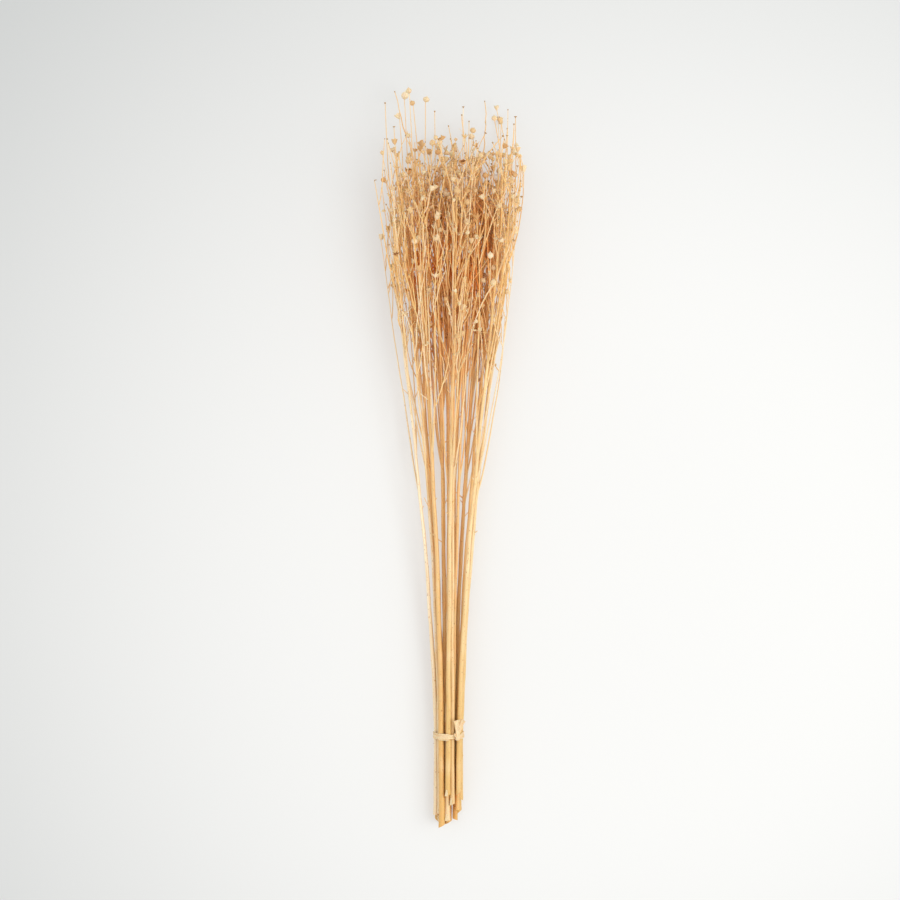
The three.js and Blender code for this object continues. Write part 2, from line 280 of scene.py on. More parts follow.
class Shells:
    """Gathers closed shells into one mesh."""

    def __init__(self):
        self.points, self.faces, self.slots, self.tones, self.grains = ([] for _ in range(5))
        self.count = 0

    def add(self, rings, slots, tones, grain, loop=False):
        """Adds a shell from rings of points, after moving any that stick out of the box back inside.
        slots has one entry for each band between rings, and its last one goes on to the end."""
        steps, sides = rings.shape[:2]
        for axis, least in ((0, low[0]), (2, BOARD_GAP)):
            place = rings[..., axis]
            place += np.maximum(0, least - place.min(axis=1))[:, None]
            place -= np.maximum(0, place.max(axis=1) - high[axis])[:, None]
        index = self.count + np.arange(steps * sides).reshape(steps, sides)
        bands = [(i, i + 1) for i in range(steps - 1)] + ([(steps - 1, 0)] if loop else [])
        for band, (i, j) in enumerate(bands):
            corners = [index[i], np.roll(index[i], -1), np.roll(index[j], -1), index[j]]
            self.faces += np.stack(corners, axis=1).tolist()
            self.slots += [slots[min(band, len(slots) - 1)]] * sides
        if not loop:
            self.faces += [index[0][::-1].tolist(), index[-1].tolist()]
            self.slots += [slots[0], slots[-1]]
        self.points.append(rings.reshape(-1, 3))
        self.tones.append(np.broadcast_to(np.reshape(tones, (-1, 1)), (steps, sides)).reshape(-1))
        self.grains.append(grain.reshape(-1, 3))
        self.count += steps * sides

    def mesh_object(self, name, materials, sharp=50):
        """One mesh object that holds all the shells."""
        mesh = bpy.data.meshes.new(name)
        points = np.concatenate(self.points)
        mesh.from_pydata(points.tolist(), [], self.faces)
        for material in materials:
            mesh.materials.append(material)
        mesh.polygons.foreach_set("material_index", self.slots)
        for kept, values in (("tone", np.concatenate(self.tones)), ("depth", painted_shade_depth(points))):
            mesh.attributes.new(kept, "FLOAT", "POINT").data.foreach_set("value", values)
        grain = np.concatenate(self.grains).astype(np.float32).ravel()
        mesh.attributes.new("grain", "FLOAT_VECTOR", "POINT").data.foreach_set("vector", grain)
        mesh.shade_smooth()
        mesh.set_sharp_from_angle(angle=math.radians(sharp))
        return in_scene(name, mesh)


# %% Directions and distances
def unit(vectors):
    return vectors / np.linalg.norm(vectors, axis=-1, keepdims=True)


def directions(path):
    return unit(np.gradient(path, axis=0))


def distances(path):
    """How far along a path each of its points lies."""
    return np.concatenate([[0], np.cumsum(np.linalg.norm(np.diff(path, axis=0), axis=1))])


def crosswise(tangents):
    """Two directions square to each tangent. They turn as little as the tangents let them."""
    mean = tangents.mean(axis=0)
    reference = X_AXIS if abs(mean[0]) < 0.8 * np.linalg.norm(mean) else Z_AXIS
    across = unit(reference - (tangents @ reference)[:, None] * tangents)
    return across, np.cross(tangents, across)


# %% Round shells: rods and turned shapes
CUT_FACE = np.array([0.04, 0.5, 0.84])  # rings of a cut face, as shares of the radius
CUT_SUNK = np.array([0.3, 0.2, 0.0])  # how far each lies under the rim


def rings_round(middles, tangents, wide, angles):
    """Rings round some middles, as wide as said at each angle, and how far they reach two ways."""
    across, up = crosswise(tangents)
    x, z = wide * np.cos(angles), wide * np.sin(angles)
    return middles[:, None] + x[..., None] * across[:, None] + z[..., None] * up[:, None], x, z


def add_rod(shells, chance, path, radii, sides, tone, slot=SKIN, ridge=0.0, cut=None):
    """A round rod along a path. ridge is the depth of its grooves as a share of the radius. cut is the
    slope of a cut through its first end, which then shows the pith."""
    path, radii = np.asarray(path), np.asarray(radii, float)
    tangents = directions(path)
    recess = np.zeros(len(path))
    slots = [slot]
    if cut is not None:
        path = np.concatenate([path[:1].repeat(3, axis=0), path])
        tangents = np.concatenate([tangents[:1].repeat(3, axis=0), tangents])
        recess = np.concatenate([CUT_SUNK * radii[0], recess])
        radii = np.concatenate([CUT_FACE * radii[0], radii])
        slots = [PITH] * 3 + [slot]
    angles = TAU * (np.arange(sides) + chance.random()) / sides
    grooves = 1 + ridge * (np.cos(3 * angles + 9 * chance.random()) + np.cos(5 * angles)) / 2
    rings, x, z = rings_round(path, tangents, radii[:, None] * grooves, angles)
    rings += recess[:, None, None] * tangents[:, None]
    if cut is not None:
        rings[:4] += (x[:4] * cut)[..., None] * tangents[:4, None]
    along = distances(path)[:, None]
    grain = np.stack([x, z, np.broadcast_to(along, x.shape)], axis=2) / MM
    shells.add(rings, slots, tone, grain + 1000 * chance.random())


def add_turned(shells, chance, at, direction, outline, size, sides, tones, slots=(PAPER,)):
    """A shape turned on a lathe and then lobed. outline holds (along, out, lobe) for each ring, as
    shares of size = (length, radius). lobe draws five lobes out and up."""
    length, radius = size
    tangents = np.tile(unit(direction), (len(outline), 1))
    along, out, lobe = (np.array(column)[:, None] for column in zip(*outline))
    angles = TAU * (np.arange(sides) + chance.random()) / sides
    wave = np.cos(5 * angles)
    wide = radius * out * (1 + lobe * wave)
    lift = length * (along + 0.35 * np.abs(lobe) * (wave - 1))
    rings, x, z = rings_round(at[None], tangents, wide, angles)
    rings = rings + lift[..., None] * tangents[:, None]
    rings -= Y_AXIS * max(0, rings[..., 1].max() - high[1])  # slides down its twig into the box
    grain = np.stack([x, z, lift], axis=2) / MM
    shells.add(rings, list(slots), tones, grain + 1000 * chance.random())


# %% A flat strip
STRIP_THICK = 0.42 * MM
RIPPLE = 9 * MM  # from one swell of an open strip to the next


def add_strip(shells, chance, path, sideways, normals, widths, wrinkle,
              slot=0, loop=False, columns=9):
    """A flat strip along a path, closed all round, with lengthwise creases and uneven edges."""
    steps = len(path)
    u = np.linspace(-0.5, 0.5, columns)
    along = distances(path)
    turns = TAU * np.arange(steps) / steps if loop else along / RIPPLE
    crease = sum(chance.uniform(0.3, 1) * np.sin(TAU * u * k + chance.uniform(0, TAU))
                 for k in (1, 2, 3))
    ripple = sum(np.sin(turns[:, None] * k + u * 5 * chance.uniform(-1, 1) + chance.uniform(0, TAU))
                 for k in (2, 5, 9)) / 3
    lift = wrinkle * (0.55 * crease[None] + 0.6 * ripple + 1.2)
    edge = 1 + 0.06 * np.sin(turns * 3 + chance.uniform(0, TAU)) + 0.04 * np.sin(turns * 7)
    wide = (np.asarray(widths) * edge)[:, None] * u
    thick = STRIP_THICK / 2 * (1 - 0.6 * (2 * np.abs(u)) ** 4)
    middle = path[:, None] + wide[..., None] * sideways[:, None] + lift[..., None] * normals[:, None]
    top = middle + thick[None, :, None] * normals[:, None]
    under = middle - thick[None, :, None] * normals[:, None]
    rings = np.concatenate([top, under[:, ::-1]], axis=1)
    across = np.concatenate([wide, wide[:, ::-1]], axis=1)
    grain = np.stack([across, across * 0.1, np.broadcast_to(along[:, None], across.shape)], axis=2) / MM
    shells.add(rings, [slot], chance.random(), grain + 1000 * chance.random(), loop)


# %% [markdown]
# ## Seed pods, scales and bare tips
# The pods are papery capsules 3 to 8 mm long. Some are still shut and round, some have opened into a
# five-toothed cup or bell, and some have spread into a little star. A bare tip keeps a knob where its
# pod broke off. Turned outlines with five lobes make all of them from one function. Each outline goes
# up the outside and, for an open pod, back down the inside, so that its wall has a real thickness.

# %% Pod shapes
OUTLINES = {
    "shut": [(0, 0.12, 0), (0.06, 0.42, 0), (0.22, 0.8, 0.02), (0.48, 1, 0.05), (0.72, 0.86, 0.07),
             (0.88, 0.5, 0.08), (0.97, 0.16, 0), (1.14, 0.07, 0), (1.16, 0.02, 0)],
    "cup": [(0, 0.12, 0), (0.08, 0.3, 0), (0.3, 0.66, 0), (0.62, 0.93, 0.03), (0.9, 1.05, 0.12),
            (1, 1.08, 0.2), (0.98, 0.98, 0.2), (0.84, 0.88, 0.08), (0.5, 0.72, 0), (0.24, 0.36, 0),
            (0.2, 0.03, 0)],
    "star": [(0, 0.14, 0), (0.12, 0.4, 0), (0.36, 0.68, 0.08), (0.6, 0.94, 0.28), (0.8, 1.12, 0.5),
             (0.84, 1.08, 0.5), (0.68, 0.86, 0.28), (0.46, 0.56, 0.08), (0.34, 0.3, 0), (0.42, 0.04, 0)],
    "bell": [(0, 0.14, 0), (0.05, 0.5, 0), (0.2, 0.74, 0), (0.5, 0.8, 0.04), (0.82, 0.94, 0.1),
             (1, 1.2, 0.16), (0.97, 1.1, 0.16), (0.8, 0.82, 0.06), (0.45, 0.66, 0), (0.2, 0.5, 0),
             (0.15, 0.03, 0)],
    "scale": [(0, 0.1, 0), (0.15, 0.5, 0), (0.45, 1, 0), (0.75, 0.7, 0), (1, 0.06, 0)],
}
KNOB = [(0, 0.4, 0), (0.25, 0.9, 0), (0.6, 1, 0), (0.85, 0.66, 0), (1, 0.12, 0)]
NAIL_HEAD = [(0, 0.4, 0), (0.4, 0.5, 0), (0.7, 1.7, 0.1), (0.95, 1.8, 0.1), (1, 0.3, 0)]
SCAR = [(0, 0.2, 0), (0.3, 0.9, 0), (0.6, 1, 0), (0.85, 0.7, 0), (1, 0.1, 0)]
POD_LENGTH, POD_RADIUS = 5.8 * MM, 2.95 * MM
POD_KINDS = ["shut", "shut", "shut", "shut", "cup", "cup", "cup", "bell", "star"]
POD_SIDES, TIP_SIDES = 15, 7
POD_TILT = 0.45  # how far a pod may nod
KNOB_RADIUS = 0.68 * MM
NAIL_SHARE = 0.3  # of the bare tips end in a nail head
SCALE_THIN, SCALE_CURL = 0.72, 0.35  # how much a scale is pressed flat, and curls off at its tip
TUFT_SCALES, TUFT_LENGTH = (4, 7), (2.4, 5.2)  # scales in a tuft, and their length in mm
PODS_FROM, PODS_FULL = feet + 430 * MM, feet + 640 * MM  # heights between which pods become common
POD_SHARE = 0.06, 0.42  # of the twigs' ends, at those heights
KNOB_SHARE = 0.06, 0.85  # of the ends without a pod


def tilted(chance, direction, most):
    """A direction turned by up to most, as a share of its own length."""
    return direction + np.array([chance.uniform(-most, most) for _ in range(3)])


def add_pod(shells, chance, at, direction, scale):
    """A pod of some kind, on its twig's end."""
    kind = chance.choice(POD_KINDS)
    outline = OUTLINES[kind]
    size = scale * chance.uniform(0.85, 1.1)
    tone = 0.85 * chance.random() ** 1.25
    rings = np.arange(len(outline))
    inside = np.where((rings > len(outline) * 0.55) & (kind != "shut"), 0.2, 0)  # a browner inside
    add_turned(shells, chance, at, tilted(chance, direction, POD_TILT), outline,
               (size * POD_LENGTH * chance.uniform(0.85, 1.15), size * POD_RADIUS), POD_SIDES,
               tone + inside)


def add_tip(shells, chance, at, direction):
    """The knob, or nail head, on a bare twig's end. The lower twigs lost most of theirs."""
    if chance.random() > np.interp(at[1], (PODS_FROM, PODS_FULL), KNOB_SHARE):
        return
    outline = NAIL_HEAD if chance.random() < NAIL_SHARE else KNOB
    size = KNOB_RADIUS * chance.uniform(0.8, 1.3)
    add_turned(shells, chance, at, direction, outline, (2.4 * size, size), TIP_SIDES,
               chance.random(), (TIP,))


def add_scale(shells, chance, at, direction, length):
    """A dry scale leaf that stands off a fork: a flattened, pointed blade."""
    direction = unit(direction)
    blade = Shells()
    add_turned(blade, chance, np.zeros(3), direction, OUTLINES["scale"], (length, length * 0.2), 6,
               chance.random() * 0.5)
    points = blade.points[0]
    away = unit(np.array([chance.uniform(-1, 1), 0, chance.uniform(-1, 1)]))
    flat = points - (points @ away)[:, None] * (away * SCALE_THIN)
    curl = (points @ direction / length) ** 2
    flat = flat + curl[:, None] * away * length * SCALE_CURL + at
    shells.add(flat.reshape(5, 6, 3), [PAPER], blade.tones[0][::6], blade.grains[0])


def add_tuft(shells, chance, at, direction):
    """What is left of a flower at a joint: a few pale scales that fan out."""
    for _ in range(chance.randint(*TUFT_SCALES)):
        add_scale(shells, chance, at, tilted(chance, direction, 1.1), chance.uniform(*TUFT_LENGTH) * MM)


# %% [markdown]
# ## Twigs
# The frame holds each stem's main branches. On the real plant each of them forks again and again into
# threads about a millimetre thick, which is what makes the head look dense. A twig leaves at an acute
# angle, bends up until it runs beside its parent, and its light tip curls. We grow them by that rule
# with seeded chance, and try again for any that would end outside the fan or the bundle's box.

# %% Growing twigs
HEAD_TOP = high[1] - 2 * MM
CANOPY, CANOPY_DROP = feet + 664 * MM, 12 * MM  # most twigs end below it, and lower at the sides
CANOPY_DEPTH = 80 * MM  # over which the twigs' ends are spread
OVER_CANOPY = 0.055  # share of the twigs that stand up above the others
POD_ROOM = 3.6 * MM  # kept free round a twig's end
TWIG_RADIUS = 0.5 * MM
TWIG_TIP = 0.3 * MM
LEAST_HEIGHT = 1.2 * MM  # above the board
FAN = (feet + 400 * MM, feet + 600 * MM), (41 * MM, 70 * MM)  # half its width at two heights
TUFT_SHARE = 0.2  # of the twigs
KINK = 0.5 * MM  # sideways step at each joint of a twig
JOINT_GAP = 6 * MM
CURL_ACROSS, CURL_UP = 4.6, 2.6  # mm, how far the light tips stray
BEND_TALL, BEND_LOW = -11, -3  # mm, how far the tips at the right side lean back in
TRIES = 8  # to find a twig room, each shorter and closer than the last
SHORTER, CLOSER = 0.84, 0.9
SIDE_TWIG_LENGTH, SIDE_TWIG_REACH = (14, 44), (3, 12)  # mm
SIDE_TWIG_THINNER = 0.82
TWIG_SIDES = 5


def along_path(path, places):
    """Points at distances from the start of a path, which goes on straight past its end."""
    lengths = distances(path)
    inside = np.stack([np.interp(places, lengths, path[:, k]) for k in range(3)], axis=1)
    beyond = np.maximum(0, places - lengths[-1])
    return inside + beyond[:, None] * unit(path[-1] - path[-3])


def across_bundle(turn):
    """The direction square to the bundle at an angle, from +X up."""
    return np.array([math.cos(turn), 0, math.sin(turn)])


def has_room(end, ceiling):
    """Whether a twig may end here: inside the fan and the bundle's box, and below a ceiling."""
    return (abs(end[0]) + POD_ROOM < min(high[0], np.interp(end[1], *FAN)) and end[1] < ceiling
            and POD_ROOM < end[2] < high[2] - POD_ROOM)


def twig_path(chance, parent, start, length, reach):
    """A twig's path from its parent, or None if it finds no room."""
    tall = chance.random() < OVER_CANOPY
    side_share = along_path(parent, np.array([start]))[0, 0] / high[0]
    ceiling = HEAD_TOP
    if not tall:
        ceiling = CANOPY - CANOPY_DROP * side_share ** 2 - CANOPY_DEPTH * chance.random()
    share = np.linspace(0, 1, max(5, int(length / JOINT_GAP)))
    for _ in range(TRIES):
        side = across_bundle(chance.uniform(0, TAU))
        path = along_path(parent, start + share * length)
        path = path + side * (reach * share ** 0.8)[:, None]
        kinks = np.array([[chance.gauss(0, KINK), 0, chance.gauss(0, KINK)] for _ in share])
        kinks[0] = 0
        path = path + np.cumsum(kinks, axis=0)
        bend = (BEND_TALL if tall else BEND_LOW) * max(0, side_share)
        curl = np.array([chance.gauss(bend, CURL_ACROSS), 0, chance.gauss(0, CURL_UP)]) * MM
        path = path + curl * (share ** 2.5)[:, None] * min(1.5, length / (60 * MM))
        path[:, 2] = np.maximum(path[:, 2], LEAST_HEIGHT)
        if has_room(path[-1], ceiling):
            return path
        length, reach = length * SHORTER, reach * CLOSER
    return None


def add_twig(shells, chance, parent, start, length, reach, thick, depth):
    """A twig with its own smaller twigs, its end and its scales."""
    path = twig_path(chance, parent, start, length, reach)
    if path is None:
        return
    radii = np.linspace(thick, max(TWIG_TIP, thick * 0.62), len(path))
    add_rod(shells, chance, path, radii, TWIG_SIDES, chance.random())
    heading = unit(path[-1] - path[-2])
    if chance.random() < np.interp(path[-1, 1], (PODS_FROM, PODS_FULL), POD_SHARE):
        add_pod(shells, chance, path[-1], heading, chance.uniform(0.6, 1.0))
    else:
        add_tip(shells, chance, path[-1], heading)
    for _ in range(chance.choice([0, 0, 1, 1, 2])):
        joint = path[chance.randrange(1, len(path) - 1)]
        add_scale(shells, chance, joint, heading, chance.uniform(1.6, 4) * MM)
    if chance.random() < TUFT_SHARE:
        add_tuft(shells, chance, path[len(path) // 2], heading)
    if depth > 0:
        for _ in range(chance.choice([0, 1, 1, 2, 2])):
            begin = distances(path)[-1] * chance.uniform(0.15, 0.8)
            add_twig(shells, chance, path, begin, chance.uniform(*SIDE_TWIG_LENGTH) * MM,
                     chance.uniform(*SIDE_TWIG_REACH) * MM, thick * SIDE_TWIG_THINNER, depth - 1)


# %% [markdown]
# ## Stalks
# A dried stalk is a tapering tube with a thin glossy skin. Close up it isn't a clean cone: it has
# shallow grooves where it shrank, a faint swelling and a dark scar wherever a leaf grew, small stubs of
# snapped twigs, and a slanted cut at the foot that shows the pale pith. Rings along the frame's line
# carry the grooves and swellings, and the scars and stubs are little shells that sit in the skin.

# %% Stalks and branches
SCAR_SPACING = (14 * MM, 38 * MM)
STUB_FROM = 250 * MM  # height of the lowest stub above the feet
WANDER = 0.3 * MM  # how far a stalk sways off the frame's line
SWAYS = 0.045, 0.12  # m, from one sway to the next, short and long
SLENDER = (feet + 480 * MM, feet + 660 * MM), (1.0, 0.6)  # the stalks' tops, thinner than in the frame
BRANCH_END = 5 * MM  # what the last plane leaves out at a branch's end
TORN_SHARE = 0.4  # of the stalks have a torn flap of skin at the cut
STUB_SHARE = 0.4  # of the scars above STUB_FROM have a stub
STUB_LENGTH, FLAP_LENGTH = (2, 11), (5, 10)  # mm
BROWN = 0.7, 1.6  # tones of the scars
CUT_SLOPE = 0.9  # the steepest cut at a foot
GOLDEN_ANGLE = 2.4  # radians, at which leaves follow each other round a stem
STALK_SIDES, BRANCH_SIDES = 14, 7


def wandering(chance, path):
    """A path with a slight sway, which fades out at both ends."""
    along = path[:, 1] - path[0, 1]
    fade = np.sin(math.pi * np.linspace(0, 1, len(path))) ** 0.3
    swayed = path.copy()
    for axis in (0, 2):
        for wave in SWAYS:
            phase = chance.uniform(0, TAU)
            swayed[:, axis] += WANDER * fade * np.sin(TAU * along / wave + phase) * (wave / SWAYS[1])
    return swayed


def add_scar(shells, chance, at, out, tangent, radius):
    """A leaf scar: a low lump in the skin, darker than it."""
    size = radius * chance.uniform(0.28, 0.42)
    foot = at + out * (radius - 0.5 * size)
    add_turned(shells, chance, foot, out + 0.5 * tangent, SCAR, (size, size), TIP_SIDES,
               chance.uniform(*BROWN), (SKIN,))


def add_stub(shells, chance, at, out, tangent, radius):
    """What is left of a snapped side twig. Its path starts at the break, which shows the pith."""
    length = chance.uniform(*STUB_LENGTH) * MM
    thick = min(radius * chance.uniform(0.25, 0.4), 0.7 * MM)
    lean = unit(out * chance.uniform(0.4, 1.6) + tangent)
    path = at + lean * np.linspace(length + radius, 0, 4)[:, None]
    add_rod(shells, chance, path, thick * np.array([0.85, 0.9, 1, 1.25]), 6, chance.random(),
            cut=chance.uniform(-0.8, 0.8))


def add_torn_skin(shells, chance, path, radius):
    """A flap of skin that the cut tore loose. It curls off the stalk with its pale inside out."""
    out = across_bundle(chance.uniform(0.4, 2.7))
    sideways = np.cross(out, Y_AXIS)
    share = np.linspace(0, 1, 7)
    strip = along_path(path, chance.uniform(*FLAP_LENGTH) * MM * (1 - share))
    strip = strip + out * (radius * 0.97 + 1.3 * MM * share ** 2)[:, None]
    strip = strip + sideways * (chance.uniform(-1.2, 1.2) * MM * share ** 2)[:, None]
    level = np.ones((len(share), 1))
    add_strip(shells, chance, strip, sideways * level, out * level,
              np.linspace(1.4, 3.2, len(share)) * MM, 0.1 * MM, slot=PITH, columns=5)


def add_stalk(shells, chance, rod):
    """A stalk on a rod of the frame, with its scars, stubs and cut. Gives back its path."""
    path = wandering(chance, rod["path"])
    path[:, 2] = np.maximum(path[:, 2], rod["reach"] + BOARD_GAP)
    cut = chance.uniform(-CUT_SLOPE, CUT_SLOPE)
    foot = path[0] + Y_AXIS * abs(cut) * rod["reach"][0]
    path = np.concatenate([[foot], path[2::2]])
    radii = np.concatenate([[rod["reach"][0]], rod["reach"][2::2]]) * chance.uniform(0.97, 1.02)
    radii *= np.interp(path[:, 1], *SLENDER)
    radii[0] *= 1.06  # the cut frays and spreads the end a little
    tone = chance.random()
    lengths = distances(path)
    tangents = directions(path)
    place, turn = chance.uniform(*SCAR_SPACING), chance.uniform(0, TAU)
    while place < lengths[-1] * 0.97:
        at = along_path(path, np.array([place]))[0]
        nearest = int(np.argmin(np.abs(lengths - place)))
        radius = float(np.interp(place, lengths, radii))
        radii[nearest] *= 1 + chance.uniform(0.02, 0.07)
        out = across_bundle(turn)
        add_scar(shells, chance, at, out, tangents[nearest], radius)
        if place > STUB_FROM and chance.random() < STUB_SHARE:
            add_stub(shells, chance, at, out, tangents[nearest], radius)
        place += chance.uniform(*SCAR_SPACING)
        turn += GOLDEN_ANGLE
    add_rod(shells, chance, path, radii, STALK_SIDES, tone, ridge=0.05, cut=cut)
    if chance.random() < TORN_SHARE:
        add_torn_skin(shells, chance, path, radii[0])
    return path


def add_branch(shells, chance, rod):
    """A branch on a rod of the frame, with its pod or tip. Gives back its path."""
    path = wandering(chance, rod["path"])[::2]
    heading = unit(path[-1] - path[-2])
    path = np.concatenate([path, [path[-1] + heading * BRANCH_END]])
    radii = np.clip(rod["reach"][::2], 0, 0.95 * MM)
    radii = np.append(radii, radii[-1]) * np.linspace(1.0, 0.62, len(path))
    add_rod(shells, chance, path, radii, BRANCH_SIDES, chance.random(), ridge=0.04)
    if rod["pod"]:
        add_pod(shells, chance, path[-1], heading, chance.uniform(0.86, 1.14))
    else:
        add_tip(shells, chance, path[-1], heading)
    return path


# %% [markdown]
# ## Materials
# Everything here is dried plant: cellulose with an IOR near 1.47, no metal, and colours between cream
# and orange brown. The skin of the stalks was bleached and keeps a soft waxy shine. The cut pith and
# the pods are matt. Deep in the bundle the skin and pods get painted shade: an orange that stands in
# for light bounced between the stems. It is laid on by how deep each point lies, which the mesh carries.
# What sells the material is variation at three scales: each bit's own tone, blotches a finger wide, and
# fibres under a millimetre that run along the grain.

# %% Material helpers
def linear(colour):
    """A linear colour from an sRGB hex value."""
    values = [int(colour[i:i + 2], 16) / 255 for i in (1, 3, 5)]
    return (*(v / 12.92 if v <= 0.04045 else ((v + 0.055) / 1.055) ** 2.4 for v in values), 1)


def add_node(material, kind, links=None, stops=None, **settings):
    """Adds a node. links maps an input's name or number to a value or to another node's output, and
    stops gives a colour ramp its (place, hex colour) pairs."""
    tree = material.node_tree
    node = tree.nodes.new(kind)
    for name, value in settings.items():
        setattr(node, name, value)
    for key, value in (links or {}).items():
        if isinstance(value, bpy.types.NodeSocket):
            tree.links.new(value, node.inputs[key])
        else:
            node.inputs[key].default_value = value
    for i, (place, colour) in enumerate(stops or []):
        elements = node.color_ramp.elements
        element = elements[i] if i < 2 else elements.new(place)
        element.position, element.color = place, linear(colour)
    return node


def new_material(name, roughness, ior=1.47, **extra):
    """A material whose shader has its even values set on its own sockets."""
    material = bpy.data.materials.new(name)
    material.use_nodes = True
    shader = material.node_tree.nodes["Principled BSDF"]
    shader.inputs["Roughness"].default_value = roughness
    shader.inputs["IOR"].default_value = ior
    for socket, value in extra.items():
        shader.inputs[socket.replace("_", " ")].default_value = value
    return material, shader


def fibres(material, across, along, detail=2.0):
    """A pattern of fibres along the grain. across and along are its size in mm each way."""
    grain = add_node(material, "ShaderNodeAttribute", attribute_name="grain")
    stretched = add_node(material, "ShaderNodeMapping",
                         {0: grain.outputs["Vector"], "Scale": (1 / across, 1 / across, 1 / along)})
    return add_node(material, "ShaderNodeTexNoise",
                    {"Vector": stretched.outputs[0], "Scale": 1.0, "Detail": detail}).outputs[0]


def blotches(material, size_mm):
    """A soft uneven pattern through the whole bundle, with spots of about size_mm."""
    place = add_node(material, "ShaderNodeTexCoord")
    return add_node(material, "ShaderNodeTexNoise", {
        "Vector": place.outputs["Object"], "Scale": 1 / (size_mm * MM), "Detail": 2.0}).outputs[0]


def layered(material, colour, layers):
    """A colour with others laid over it in turn, each by its own share from 0 to 1."""
    for share, over in layers:
        over = linear(over) if isinstance(over, str) else over
        colour = add_node(material, "ShaderNodeMix", {0: share, 6: colour, 7: over},
                          data_type="RGBA", blend_type="MIX").outputs[2]
    return colour


def product(material, first, *others):
    for other in others:
        times = add_node(material, "ShaderNodeMath", {0: first, 1: other}, operation="MULTIPLY")
        first = times.outputs[0]
    return first


def ranged(material, value, lowest, highest, to_low=0.0, to_high=1.0):
    """A value moved from one range to another and held inside it."""
    return add_node(material, "ShaderNodeMapRange",
                    {0: value, 1: lowest, 2: highest, 3: to_low, 4: to_high}).outputs[0]


def from_mesh(material, name):
    """The number of that name that the mesh keeps for each point."""
    return add_node(material, "ShaderNodeAttribute", attribute_name=name).outputs["Fac"]


def dress(material, shader, colour, relief=None, strength=0.0, depth_mm=0.0):
    """Gives a shader its colour, and its relief with its strength and depth."""
    material.node_tree.links.new(colour, shader.inputs["Base Color"])
    if relief is not None:
        bump = add_node(material, "ShaderNodeBump",
                        {"Strength": strength, "Distance": depth_mm * MM, "Height": relief})
        material.node_tree.links.new(bump.outputs[0], shader.inputs["Normal"])
    return material


# %% Stem skin
STRAW = [(0.0, "#d8b16a"), (0.14, "#deba76"), (0.35, "#ebcf9c"), (0.6, "#efd09a"), (0.75, "#f6ca84"),
         (1.0, "#f0c88c")]  # the skin's colour from the feet to the top
PAINTED_SHADE_ORANGE = [(0.0, "#d27c18"), (0.35, "#eaa440"), (0.6, "#ee9a30"), (0.72, "#f08a1c"),
                (1.0, "#f29830")]  # painted shade: the orange of light bounced between stems deep in the bundle, feet to top
PAINTED_SHADE_SHARE = [(0.0, "#d6d6d6"), (0.2, "#b0b0b0"), (0.54, "#b0b0b0"), (0.64, "#c0c0c0"),
              (0.76, "#ffffff")]  # how strong that painted shade is, from the feet to the top


def bleached_stem_skin_with_painted_shade():
    """Dried, bleached stem skin: waxy, finely grooved, golden at the foot, pale straw above, painted
    shade inside.
    """
    material, shader = new_material("bleached_stem_skin_with_painted_shade", 0.5, Subsurface_Weight=0.12,
                                    Subsurface_Radius=(1.0, 0.5, 0.2), Subsurface_Scale=1.5 * MM)
    place = add_node(material, "ShaderNodeTexCoord")
    y = add_node(material, "ShaderNodeSeparateXYZ", {0: place.outputs["Object"]}).outputs["Y"]
    height = ranged(material, y, float(low[1]), float(high[1]))
    straw, orange, most = (
        add_node(material, "ShaderNodeValToRGB", {0: height}, stops=stops).outputs[0]
        for stops in (STRAW, PAINTED_SHADE_ORANGE, PAINTED_SHADE_SHARE))
    tone, depth = from_mesh(material, "tone"), from_mesh(material, "depth")
    patch = blotches(material, 28)
    streak = fibres(material, 0.7, 30)
    speck = fibres(material, 0.8, 1.6, 0.0)
    # painted shade: how much orange is laid on deep in the bundle; the pale and worn bits below give way
    # to it
    kept = product(material, depth, most, ranged(material, patch, 0.4, 0.58, 0.25, 1.0))
    pale = product(material, ranged(material, tone, 0.0, 0.4, 0.65, 0.0),
                   ranged(material, kept, 0.0, 0.3, 1.0, 0.0))
    worn = product(material, ranged(material, patch, 0.5, 0.75, 0.0, 0.35),
                   ranged(material, kept, 0.2, 0.7, 1.0, 0.0))
    colour = layered(material, straw, [
        (ranged(material, tone, 0.6, 1.0, 0.0, 0.5), "#e3ad62"),  # bits that dried golden
        # painted shade: the orange of light bounced deep in the bundle
        (kept, orange),
        (pale, "#fbf0d8"),  # bits that bleached the most
        (ranged(material, tone, 1.0, 1.6, 0.0, 0.85), "#b0702f"),  # scars
        (ranged(material, streak, 0.4, 0.75, 0.0, 0.4), "#cf9450"),
        (worn, "#f8e3ba"),
        (ranged(material, speck, 0.73, 0.78, 0.0, 0.55), "#9a6532"),
    ])
    gloss = ranged(material, streak, 0.3, 0.7, 0.4, 0.62)
    material.node_tree.links.new(gloss, shader.inputs["Roughness"])
    return dress(material, shader, colour, streak, 0.35, 0.12)


# %% Pith, pods and bare tips
def cut_stem_pith():
    """The cut face of a dried stem: a pale, spongy pith with darker pores."""
    material, shader = new_material("cut_stem_pith", 0.85)
    pores = fibres(material, 0.35, 0.35, 3.0)
    face = add_node(material, "ShaderNodeValToRGB", {0: pores}, stops=[
        (0.3, "#b98d56"), (0.5, "#e9d3a6"), (0.75, "#f7ead0")]).outputs[0]
    return dress(material, shader, face, pores, 0.5, 0.2)


